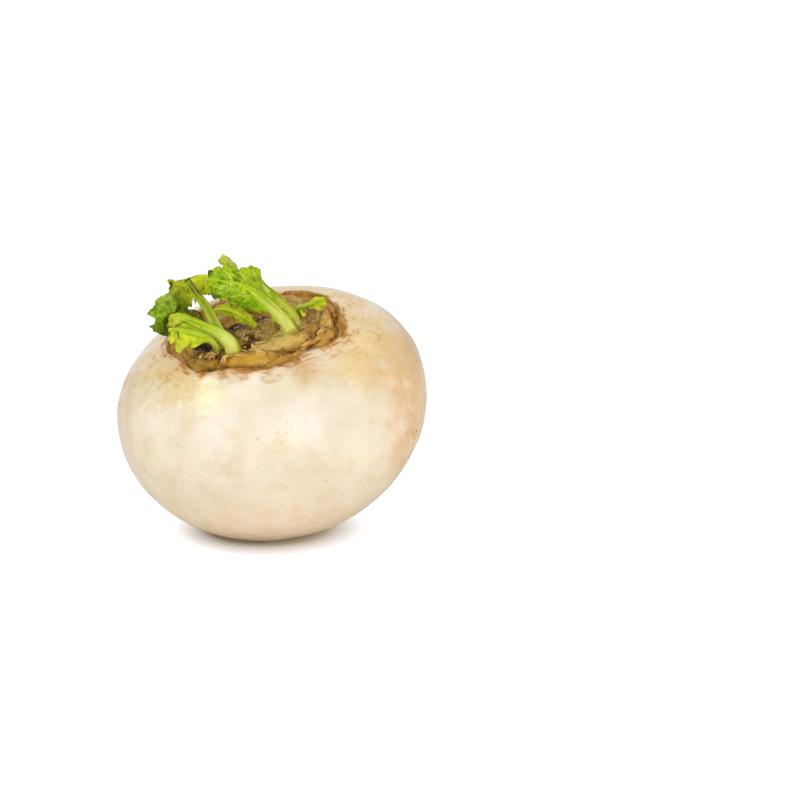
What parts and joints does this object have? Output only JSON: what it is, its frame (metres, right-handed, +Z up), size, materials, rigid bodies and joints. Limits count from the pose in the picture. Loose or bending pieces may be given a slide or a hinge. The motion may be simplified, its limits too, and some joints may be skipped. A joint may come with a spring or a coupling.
{
  "type": "turnip",
  "caption": "White turnip: a flattened round root with a scarred, flat-topped crown, short sprouting leaves and a trimmed tap root, lying tipped on its base.",
  "frame": {"origin": "on the flat spot that the root rests on, straight below the middle of its girth", "axes": "+Z up, -Y towards the side that the crown leans to, +X to the right as seen from there"},
  "size_m": [0.1051, 0.1031, 0.0947],
  "materials": {
    "skin": "smooth, slightly glossy root skin",
    "leaf": "fresh green leaf, soft sheen",
    "dried_leaf": "dry brown husk, dull"
  },
  "bodies": {
    "root": {"swollen_root": "skin", "leaf_front_upper": "leaf", "leaf_front_lower": "leaf", "stalk_cut_off": "leaf", "leaf_back_left": "leaf", "leaf_centre_large": "leaf", "leaf_centre_inner": "leaf", "leaf_top_small": "leaf", "leaf_right_small": "leaf", "leaf_crown_small": "leaf", "leaf_dried": "dried_leaf"}
  },
  "joints": []
}
